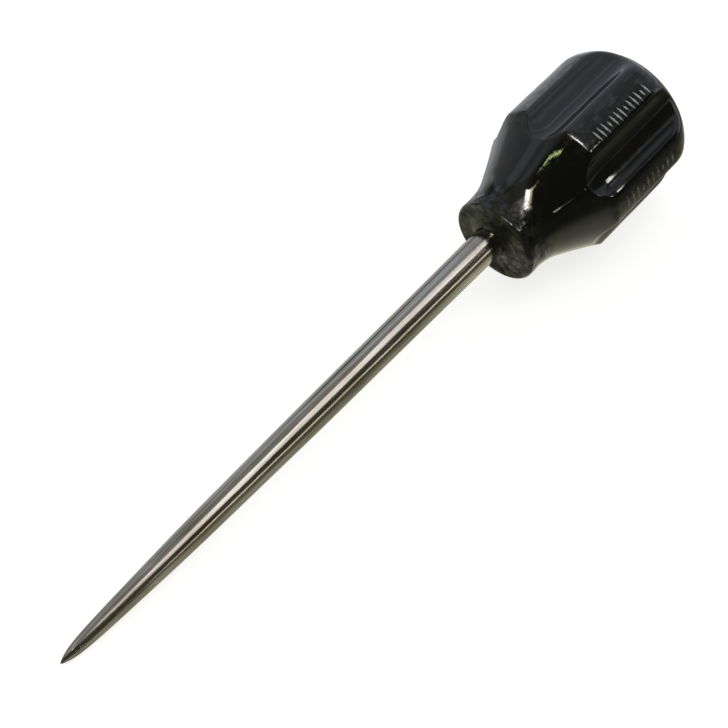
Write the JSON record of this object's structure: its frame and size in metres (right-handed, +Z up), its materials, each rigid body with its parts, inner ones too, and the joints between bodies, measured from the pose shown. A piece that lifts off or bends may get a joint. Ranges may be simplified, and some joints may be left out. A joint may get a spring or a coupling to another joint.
{
  "type": "scratch awl",
  "caption": "Scratch awl with a long tapered steel blade and a short fluted black plastic handle, for marking and piercing leather and wood.",
  "frame": {"origin": "centre of the awl's box, on the surface that it lies on", "axes": "+X from the point towards the butt, +Z up, with the awl lying on its point and two of its handle's lands"},
  "size_m": [0.1528, 0.0312, 0.0319],
  "materials": {
    "steel": "ground lengthwise, slightly tarnished",
    "acetate": "polished black cellulose acetate, mottled with handling",
    "foil": "worn silver hot-stamped foil"
  },
  "bodies": {
    "root": {"blade": "steel", "handle": "acetate"}
  },
  "joints": []
}
